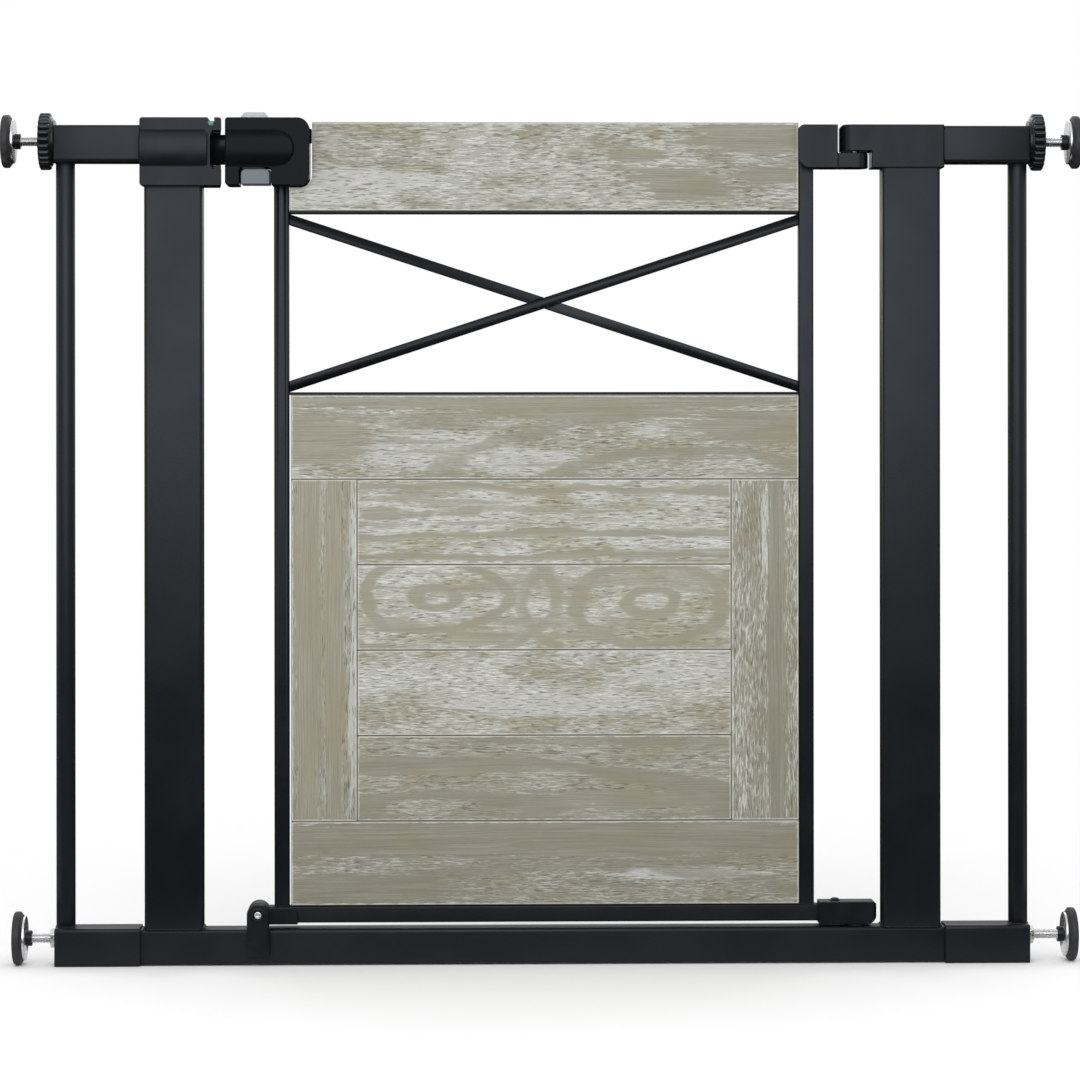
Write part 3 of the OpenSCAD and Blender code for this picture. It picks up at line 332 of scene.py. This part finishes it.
STEEL = powder_coat("powder_coat_black", (0.0044, 0.0050, 0.0062))
PLASTIC = moulded("moulded_black", (0.0036, 0.0041, 0.0050), 0.36, 0.22)
LATCH = moulded("moulded_black_smooth", (0.0030, 0.0035, 0.0042), 0.22, 0.06)
GLOSS = moulded("moulded_black_gloss", (0.0032, 0.0036, 0.0040), 0.22, 0.40)
RUBBER = rubber("pad_rubber")
ZINC = zinc("zinc_plate")
TRIGGER = moulded("moulded_blue_grey", (0.090, 0.104, 0.120), 0.45)
BUTTON = moulded("moulded_pale_grey", (0.34, 0.36, 0.38), 0.42)


# ---------------------------------------------------------------- CAD nodes: materials and eased edges

WELD_DISTANCE = 0.00001                # joins the corners that two faces of the CAD mesh share
FINE_EDGE = 0.0003                     # radius on the edges of tubes, discs and small parts
SOFT_EDGE = 0.0006                     # radius on the edges of the brace bars and strips
BOARD_EDGE = 0.0004
NUT_EDGE = 0.0002
BUTTON_EDGE = 0.0005
ROUNDED_FROM = math.radians(35)        # edges sharper than this get a radius
SHARP_FROM = math.radians(32)          # edges sharper than this stay crisp in the shading


def dress(name, material, bevel=0.0, segments=3):
    """Gives a CAD node its material and, with modifiers, rounded edges and smooth shading."""
    obj = nodes[name]
    obj.data.materials.clear()
    obj.data.materials.append(material)
    weld = obj.modifiers.new("weld", "WELD")
    weld.merge_threshold = WELD_DISTANCE
    if bevel:
        edge = obj.modifiers.new("edge", "BEVEL")
        edge.width = bevel
        edge.segments = segments
        edge.limit_method = "ANGLE"
        edge.angle_limit = ROUNDED_FROM
        edge.use_clamp_overlap = False
    for polygon in obj.data.polygons:
        polygon.use_smooth = True
    if "sharp_edge" not in obj.data.attributes:
        obj.data.set_sharp_from_angle(angle=SHARP_FROM)
    return obj


def mould(name, material, voxel=0.00034, rounds=7):
    """Softens every edge of a moulded part, as the radii of its tool would."""
    obj = nodes[name]
    obj.data.materials.clear()
    obj.data.materials.append(material)
    weld = obj.modifiers.new("weld", "WELD")
    weld.merge_threshold = WELD_DISTANCE
    grid = obj.modifiers.new("grid", "REMESH")
    grid.mode = "VOXEL"
    grid.voxel_size = voxel
    grid.use_smooth_shade = True
    soften = obj.modifiers.new("soften", "SMOOTH")
    soften.factor = 0.5
    soften.iterations = rounds
    thin = obj.modifiers.new("thin", "DECIMATE")
    thin.ratio = 0.30                  # share of the faces that is kept
    return obj


for name in ("bottom_rail", "left_post", "right_post", "extension_joiners",
             "left_extension_top_bar", "left_extension_bottom_bar", "left_extension_upright",
             "right_extension_top_bar", "right_extension_bottom_bar", "right_extension_upright",
             "door_left_stile", "door_right_stile", "door_bottom_rail"):
    dress(name, STEEL, FINE_EDGE, 2)
for name in ("door_strips", "brace_bar", "brace_half_bars"):
    dress(name, STEEL, SOFT_EDGE, 2)
for name in ("catch_front_shell", "catch_rear_shell", "hinge_cover", "hinge_bracket",
             "pivot_block", "door_end_cap", "swing_stop"):
    mould(name, PLASTIC)
for name in ("latch_front_shell", "latch_rear_shell"):
    mould(name, LATCH)
for name in ("end_plugs", "pivot_bush"):
    dress(name, PLASTIC, FINE_EDGE, 2)
dress("latch_bolt", PLASTIC)
for name in ("frame_screws", "stop_screw", "hinge_pin", "pivot_pin", "bolt_spring", "button_spring"):
    dress(name, ZINC)
screws = dress("door_screws", ZINC)
screws.data.materials.append(PLASTIC)
BLACK_SCREW_TOP = 0.2                  # the only screw below this height, in the pivot block, is blackened
for polygon in screws.data.polygons:
    if polygon.center.z < BLACK_SCREW_TOP:
        polygon.material_index = 1
for name in ("bottom_left_nut", "bottom_right_nut"):
    dress(name, ZINC, NUT_EDGE, 2)
dress("top_button", BUTTON, BUTTON_EDGE, 3)
mould("squeeze_trigger", TRIGGER, voxel=0.0003, rounds=5)

flag_low, flag_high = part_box("indicator_flag")
FLAG = flag_paint("indicator_paint", flag_high.x, (flag_high.x - flag_low.x) / 2)
dress("indicator_flag", FLAG, FINE_EDGE, 2)


def board_frame(low, high):
    """Lower left corner and size of a board's face, in millimetres."""
    return ((low.x / MM, low.z / MM), ((high.x - low.x) / MM, (high.z - low.z) / MM))


def board_of(name, **looks):
    low, size = board_frame(*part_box(name))
    dress(name, washed_wood(name + "_wood", Board(low, size, **looks)), BOARD_EDGE, 2)


board_of("header_board", seed=3.1, tone=0.96, dash=0.60, veil=0.58, ring_show=0.15,
         bare=((395, 62, 62, 14), (330, 22, 40, 17), (405, 30, 36, 9), (292, 47, 26, 6)),
         pale=((432, 30, 26, 9), (20, 12, 60, 9), (60, 26, 70, 9)))
board_of("panel_top_board", seed=7.7, tone=1.02, dash=0.62, veil=0.45, ring_show=0.85,
         rings=((330, -26, 0.34, 30),),
         bare=((14, 33, 52, 22), (190, 66, 260, 8), (400, 44, 80, 15), (250, 56, 90, 7)),
         pale=((120, 24, 66, 17), (200, 14, 50, 12), (315, 40, 34, 7)))
board_of("panel_bottom_board", seed=12.9, tone=0.88, dash=0.42, veil=0.16, ring_show=0.8,
         rings=((235, -58, 0.30, 34),),
         bare=((210, 55, 330, 17), (60, 14, 90, 12)), pale=((330, 26, 70, 5),))
board_of("panel_left_board", along="z", seed=17.3, tone=1.03, dash=0.34, veil=0.14, ring_show=0.5,
         bare=((150, 14, 230, 11), (140, 36, 200, 8)), pale=((90, 52, 80, 4), (230, 52, 60, 3)))
board_of("panel_right_board", along="z", seed=23.9, tone=0.89, dash=0.60, veil=0.22, ring_show=0.5,
         bare=((150, 38, 260, 8),), pale=((240, 30, 40, 5),))

SLATS = (
    dict(seed=31.4, tone=0.97, dash=0.40, veil=0.18, ring_show=0.9, rings=((70, 4, 0.16, 27),),
         bare=((60, 46, 110, 8), (230, 18, 120, 8))),
    dict(seed=37.9, tone=1.10, dash=0.74, veil=0.70, ring_show=0.1,
         pale=((160, 26, 90, 10), (270, 52, 60, 9))),
    dict(seed=43.3, tone=1.16, dash=0.72, veil=0.75, ring_show=1.0,
         rings=((66, 40, 0.50, 21), (246, 34, 0.55, 24)),
         bare=((28, 22, 26, 7), (196, 14, 16, 6), (105, 10, 30, 6))),
    dict(seed=49.1, tone=1.16, dash=0.72, veil=0.95, ring_show=1.0, rings=((-400, 40, 0.02, 17),)),
)
slats = dress("panel_slats", STEEL, BOARD_EDGE, 2)
slats.data.materials.clear()
slats_low, slats_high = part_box("panel_slats")
pitch = (slats_high.z - slats_low.z) / len(SLATS)
for number, looks in enumerate(SLATS):
    low = Vector((slats_low.x, slats_low.y, slats_low.z + number * pitch))
    high = Vector((slats_high.x, slats_high.y, low.z + pitch))
    place, size = board_frame(low, high)
    slats.data.materials.append(washed_wood(f"panel_slat_{number + 1}_wood", Board(place, size, **looks)))
for polygon in slats.data.polygons:
    polygon.material_index = min(len(SLATS) - 1, int((polygon.center.z - slats_low.z) / pitch))

CORNERS = ("top_left", "top_right", "bottom_left", "bottom_right")
HUB_FROM = 0.0022                      # behind this distance from its face a disc is its plastic hub
for corner in CORNERS:
    disc = dress(corner + "_disc", ZINC, FINE_EDGE, 2)
    disc.data.materials.append(PLASTIC)
    low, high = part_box(corner + "_disc")
    face = high.x if high.x > 0 else low.x
    for polygon in disc.data.polygons:
        if abs(polygon.center.x - face) > HUB_FROM:
            polygon.material_index = 1
    dress(corner + "_pad", RUBBER, FINE_EDGE, 2)


def shorten_spring(name):
    """Gives a spring a mesh of its own."""
    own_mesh(nodes[name])


low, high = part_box("bolt_spring")
shorten_spring("bolt_spring")
low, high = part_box("button_spring")
shorten_spring("button_spring")


# ---------------------------------------------------------------- pieces built here

def piece(name, mesh, body, material, smooth=True):
    """Puts a mesh into the scene as a piece that rides a body."""
    obj = bpy.data.objects.new(name, mesh)
    bpy.context.scene.collection.objects.link(obj)
    obj.data.materials.append(material)
    for polygon in obj.data.polygons:
        polygon.use_smooth = smooth
    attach(obj, body)
    return obj


def mesh_from(name, verts, faces):
    mesh = bpy.data.meshes.new(name)
    mesh.from_pydata([tuple(v) for v in verts], [], faces)
    mesh.validate()
    return mesh


def ring_mesh(name, rings, closed_loop=False):
    """Skin over a list of rings with the same number of points, with flat ends unless they form a loop."""
    n = len(rings[0])
    verts = [p for ring in rings for p in ring]
    faces = []
    for i in range(len(rings) if closed_loop else len(rings) - 1):
        m = (i + 1) % len(rings)
        for j in range(n):
            k = (j + 1) % n
            faces.append((i * n + j, i * n + k, m * n + k, m * n + j))
    if not closed_loop:
        faces.append(tuple(range(n - 1, -1, -1)))
        faces.append(tuple((len(rings) - 1) * n + j for j in range(n)))
    return mesh_from(name, verts, faces)


def threaded_rod(node):
    """Rolled M8 thread over the length of a plain CAD spindle, with chamfered ends."""
    low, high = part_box(node)
    axis_z = (low.z + high.z) / 2
    radius = (high.z - low.z) / 2
    pitch = 1.25 * MM
    depth = pitch * 0.61
    chamfer = 1.1 * MM
    around, per_pitch = 40, 8
    steps = int((high.x - low.x) / pitch * per_pitch)
    rings = []
    for i in range(steps + 1):
        x = low.x + (high.x - low.x) * i / steps
        from_end = min(i, steps - i) / per_pitch * pitch
        ring = []
        for j in range(around):
            a = 2 * math.pi * j / around
            phase = (x / pitch - j / around) % 1.0
            ridge = max(0.0, min(1.0, 2.4 * abs(phase - 0.5) - 0.1))
            r = min(radius - depth * (1 - ridge), radius - chamfer + from_end)
            ring.append((x, r * math.cos(a), axis_z + r * math.sin(a)))
        rings.append(ring)
    return ring_mesh(node + "_thread", rings)


for corner in CORNERS:
    node = corner + "_spindle"
    rod = piece(node + "_thread", threaded_rod(node), corner + "_foot", ZINC)
    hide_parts(node)


def grip_wheel(node):
    """Thumbwheel with rounded grip lobes, a dished face, a hub and the stepped collar behind it."""
    low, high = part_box(node)
    side = 1.0 if high.x > 0 else -1.0
    start = min(abs(low.x), abs(high.x)) / MM      # inner face, towards the gate
    thick = (high.x - low.x) / MM
    outer = (high.z - low.z) / 2 / MM
    axis_z = (low.z + high.z) / 2
    lobes, per_lobe = 24, 12
    cleft = 2.3                                    # depth of the grooves between the lobes
    # place along the axis, radius, share of the lobe pattern at that radius
    profile = (
        (-3.0, 14.4, 0), (-3.1, 14.9, 0), (-3.1, 17.6, 0), (-2.7, 18.2, 0), (-1.4, 18.4, 0),
        (-1.2, 19.9, 0), (-0.9, 20.3, 0), (0.0, 20.6, 0), (0.1, 21.0, 0.2), (0.15, 22.4, 0.6),
        (0.5, 23.3, 0.85), (1.3, outer, 1), (2.6, outer, 1), (thick / 2, outer, 1), (thick - 2.6, outer, 1),
        (thick - 1.3, outer, 1), (thick - 0.5, 23.3, 0.85), (thick - 0.1, 22.2, 0.6), (thick, 20.8, 0.1),
        (thick - 0.1, 19.6, 0), (thick - 0.7, 18.9, 0), (thick - 2.0, 18.4, 0), (thick - 2.3, 17.6, 0),
        (thick - 2.3, 10.2, 0), (thick - 2.0, 9.4, 0), (thick - 0.6, 8.9, 0), (thick - 0.1, 8.3, 0),
        (thick, 7.4, 0), (thick, 4.6, 0), (thick - 0.4, 4.15, 0), (0.4, 4.15, 0), (0.0, 4.4, 0),
        (0.0, 14.0, 0),
    )
    count = lobes * per_lobe
    rings = []
    for place, radius, share in profile:
        ring = []
        for j in range(count):
            wave = abs(math.sin(math.pi * (j / per_lobe - 0.5)))   # 1 on a lobe, 0 between two
            r = (radius - share * cleft * (1.0 - wave ** 0.75)) * MM
            a = 2 * math.pi * j / count
            ring.append((side * (start + place) * MM, r * math.cos(a), axis_z + side * r * math.sin(a)))
        rings.append(ring)
    return ring_mesh(node + "_grip", rings, closed_loop=True)


LOBE_ANGLE = math.radians(50)          # the clefts between the lobes are sharper than this
for corner in ("top_left", "top_right"):
    node = corner + "_thumbwheel"
    wheel = piece(node + "_grip", grip_wheel(node), corner + "_wheel_body", GLOSS)
    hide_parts(node)
    wheel.data.set_sharp_from_angle(angle=LOBE_ANGLE)


def weld_bead(name, path, size, seed):
    """Rippled bead along a run of straight lines, slightly uneven like a hand weld."""
    ripple = 1.3 * MM
    spacing = 0.3 * MM
    around = 10
    rings = []
    for start, end in zip(path, path[1:]):
        start, end = Vector(start), Vector(end)
        ahead = (end - start).normalized()
        up = Vector((0, 0, 1)) if abs(ahead.z) < 0.9 else Vector((1, 0, 0))
        out = ahead.cross(up)
        steps = max(4, int((end - start).length / spacing))
        for i in range(steps):
            at = start + (end - start) * (i / steps)
            s = (at - Vector(path[0])).length
            lump = 0.72 + 0.20 * abs(math.sin(math.pi * s / ripple)) + 0.16 * math.sin(s * 1900 + seed)
            lift = up * size * 0.16 * math.sin(s * 1100 + 2 * seed)
            rings.append([at + lift + (out * math.cos(a) + up * math.sin(a)) * size * lump
                          for a in (2 * math.pi * j / around for j in range(around))])
    return ring_mesh(name, rings)


def add_trigger_webs():
    """Thin webs inside the trigger's cheeks, which close its rounded corners to the light."""
    low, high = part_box("squeeze_trigger")
    top = low.z + 12.1 * MM                        # just under the top of the cheeks
    bottom = top - 10 * MM
    right = high.x + 0.7 * MM
    eased = 0.5 * MM
    inner, outer = 6.25 * MM, 6.55 * MM            # between the bolt and a cheek
    outline = ((low.x, bottom), (high.x, bottom), (right, bottom + eased), (right, top - eased),
               (right - eased, top), (low.x + eased, top), (low.x, top - eased))
    for face, side in (("front", -1), ("rear", 1)):
        rings = [[Vector((x, side * y, z)) for x, z in outline] for y in (inner, outer)]
        mesh = ring_mesh(f"trigger_{face}_web", rings)
        piece(mesh.name, mesh, "trigger", TRIGGER, smooth=False)


def upright_bead(name, centre, radius):
    """Bead round the end of an extension upright."""
    size = 0.8 * MM
    around, across = 96, 8
    rings = []
    for i in range(around):
        a = 2 * math.pi * i / around
        lump = 1.0 + 0.18 * math.sin(24 * a) + 0.1 * math.sin(7 * a)
        spoke = Vector((math.cos(a), math.sin(a), 0))
        rings.append([centre + spoke * (radius + size * lump * math.cos(b))
                      + Vector((0, 0, size * lump * math.sin(b)))
                      for b in (2 * math.pi * j / across for j in range(across))])
    return ring_mesh(name, rings, closed_loop=True)


def add_welds():
    """Beads where the posts and the extension uprights meet their rails, and on the door's frame."""
    def add(mesh, body):
        piece(mesh.name, mesh, body, STEEL)

    rail_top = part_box("bottom_rail")[1].z
    inset = 2 * MM                                 # from a post's corner to the end of its bead
    for index, side in enumerate(("left", "right")):
        low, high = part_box(side + "_post")
        y = high.y - 0.2 * MM
        z = rail_top + 0.1 * MM
        for face, depth in (("front", -y), ("rear", y)):
            path = ((low.x + inset, depth, z), (high.x - inset, depth, z))
            add(weld_bead(f"{side}_post_{face}_weld", path, 0.9 * MM, index + depth), "frame")
        inner, outer = (low.x, high.x) if low.x > 0 else (high.x, low.x)
        for face, x in (("inner", inner), ("outer", outer)):
            path = ((x, -y + inset, z), (x, y - inset, z))
            add(weld_bead(f"{side}_post_{face}_weld", path, 1.4 * MM, 2.0 + index), "frame")
        rod_low, rod_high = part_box(side + "_extension_upright")
        foot_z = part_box(side + "_extension_bottom_bar")[1].z
        head_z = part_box(side + "_extension_top_bar")[0].z
        for end, z in (("foot", foot_z), ("head", head_z)):
            centre = Vector(((rod_low.x + rod_high.x) / 2, 0, z))
            add(upright_bead(f"{side}_upright_{end}_weld", centre, (rod_high.x - rod_low.x) / 2), "frame")

    rail_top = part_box("door_bottom_rail")[1].z
    inset = 1 * MM
    for side in ("left", "right"):
        low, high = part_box(f"door_{side}_stile")
        for face, depth in (("front", low.y), ("rear", high.y)):
            path = ((low.x + inset, depth, rail_top), (high.x - inset, depth, rail_top))
            add(weld_bead(f"{side}_stile_{face}_weld", path, 0.6 * MM, depth), "door")

    # the half bars meet the long bar in a V on each side of the crossing
    bar_low, bar_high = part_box("brace_bar")
    middle = (bar_low + bar_high) / 2
    half = 4.6 * MM                                # half the height of the bar where it is crossed
    sunk = 0.4 * MM
    for face, depth in (("front", bar_low.y + sunk), ("rear", bar_high.y - sunk)):
        for name, side in (("left", -1), ("right", 1)):
            x = middle.x + side * 7.5 * MM
            ends, tip = x - side * 4 * MM, x + side * 6 * MM
            path = ((ends, depth, middle.z - half), (tip, depth, middle.z), (ends, depth, middle.z + half))
            add(weld_bead(f"brace_{face}_{name}_weld", path, 0.6 * MM, side), "door")


add_welds()
add_trigger_webs()


# ---------------------------------------------------------------- floor, light, camera

WORLD_LIGHT = 1.0


def build_stage():
    """Round floor, large enough that its far edge melts into the backdrop."""
    mesh = bpy.data.meshes.new("floor")
    bm = bmesh.new()
    bmesh.ops.create_circle(bm, cap_ends=True, segments=96, radius=14.0)
    bm.to_mesh(mesh)
    bm.free()
    floor = bpy.data.objects.new("floor", mesh)
    bpy.context.scene.collection.objects.link(floor)
    floor.data.materials.append(floor_paint(WORLD_LIGHT))


def soft_light(name, place, target, size, power):
    """Rectangular soft box; size in metres, power in watts."""
    light = bpy.data.lights.new(name, "AREA")
    light.shape = "RECTANGLE"
    light.size, light.size_y = size
    light.energy = power
    obj = bpy.data.objects.new(name, light)
    obj.location = place
    obj.rotation_euler = (Vector(target) - Vector(place)).to_track_quat("-Z", "Y").to_euler()
    bpy.context.scene.collection.objects.link(obj)


def build_light():
    world = bpy.data.worlds.new("studio")
    bpy.context.scene.world = world
    world.use_nodes = True
    tree = world.node_tree
    tree.nodes["Background"].inputs["Color"].default_value = (1.0, 1.0, 1.0, 1.0)
    tree.nodes["Background"].inputs["Strength"].default_value = WORLD_LIGHT
    middle = (0.0, 0.0, 0.45)
    soft_light("key", (-0.14, -1.80, 1.06), middle, (1.9, 1.64), 25)
    soft_light("rim", (0.2, 1.9, 1.9), middle, (2.2, 0.9), 10)


def build_camera():
    """Stands where the photograph was taken from: a little left of straight on, above mid height."""
    distance = 2.94
    yaw = math.radians(1.3)
    roll = math.radians(0.05)
    eye_height = 0.46
    look_height = 0.3552
    frame_width = 0.9080
    camera = bpy.data.cameras.new("camera")
    camera.sensor_width = 36.0
    camera.lens = camera.sensor_width * distance / frame_width
    camera.shift_x = -0.0027
    camera.shift_y = (look_height - eye_height) / frame_width
    camera.clip_end = 60.0
    obj = bpy.data.objects.new("camera", camera)
    obj.location = (-distance * math.sin(yaw), -distance * math.cos(yaw), eye_height)
    obj.rotation_euler = (math.radians(90), roll, -yaw)
    bpy.context.scene.collection.objects.link(obj)
    bpy.context.scene.camera = obj


def dark_card(name, corners, material):
    """Dark card that only reflections see: it keeps grey haze off the black parts."""
    card = bpy.data.objects.new(name, mesh_from(name, corners, [(0, 1, 2, 3)]))
    bpy.context.scene.collection.objects.link(card)
    card.data.materials.append(material)
    card.visible_camera = False
    card.visible_diffuse = False
    card.visible_shadow = False


def build_cards():
    t = Tree("card_felt")
    felt = t.finish((0.004, 0.004, 0.004), 1.0, None, 0.0, 0.0)
    half_width = 3
    left, right = -1.8, 2.6
    lift, height = 0.001, 0.75
    for name, way in (("card_front", -1.0), ("card_rear", 1.0)):
        near, far = way * 0.07, way * 3.6
        dark_card(name + "_floor", [(-half_width, near, lift), (half_width, near, lift),
                                    (half_width, far, lift), (-half_width, far, lift)], felt)
        dark_card(name + "_wall", [(left, far, 0.0), (right, far, 0.0),
                                   (right, far, height), (left, far, height)], felt)


build_stage()
build_light()
build_cards()
build_camera()
bpy.context.scene.view_settings.view_transform = "Standard"
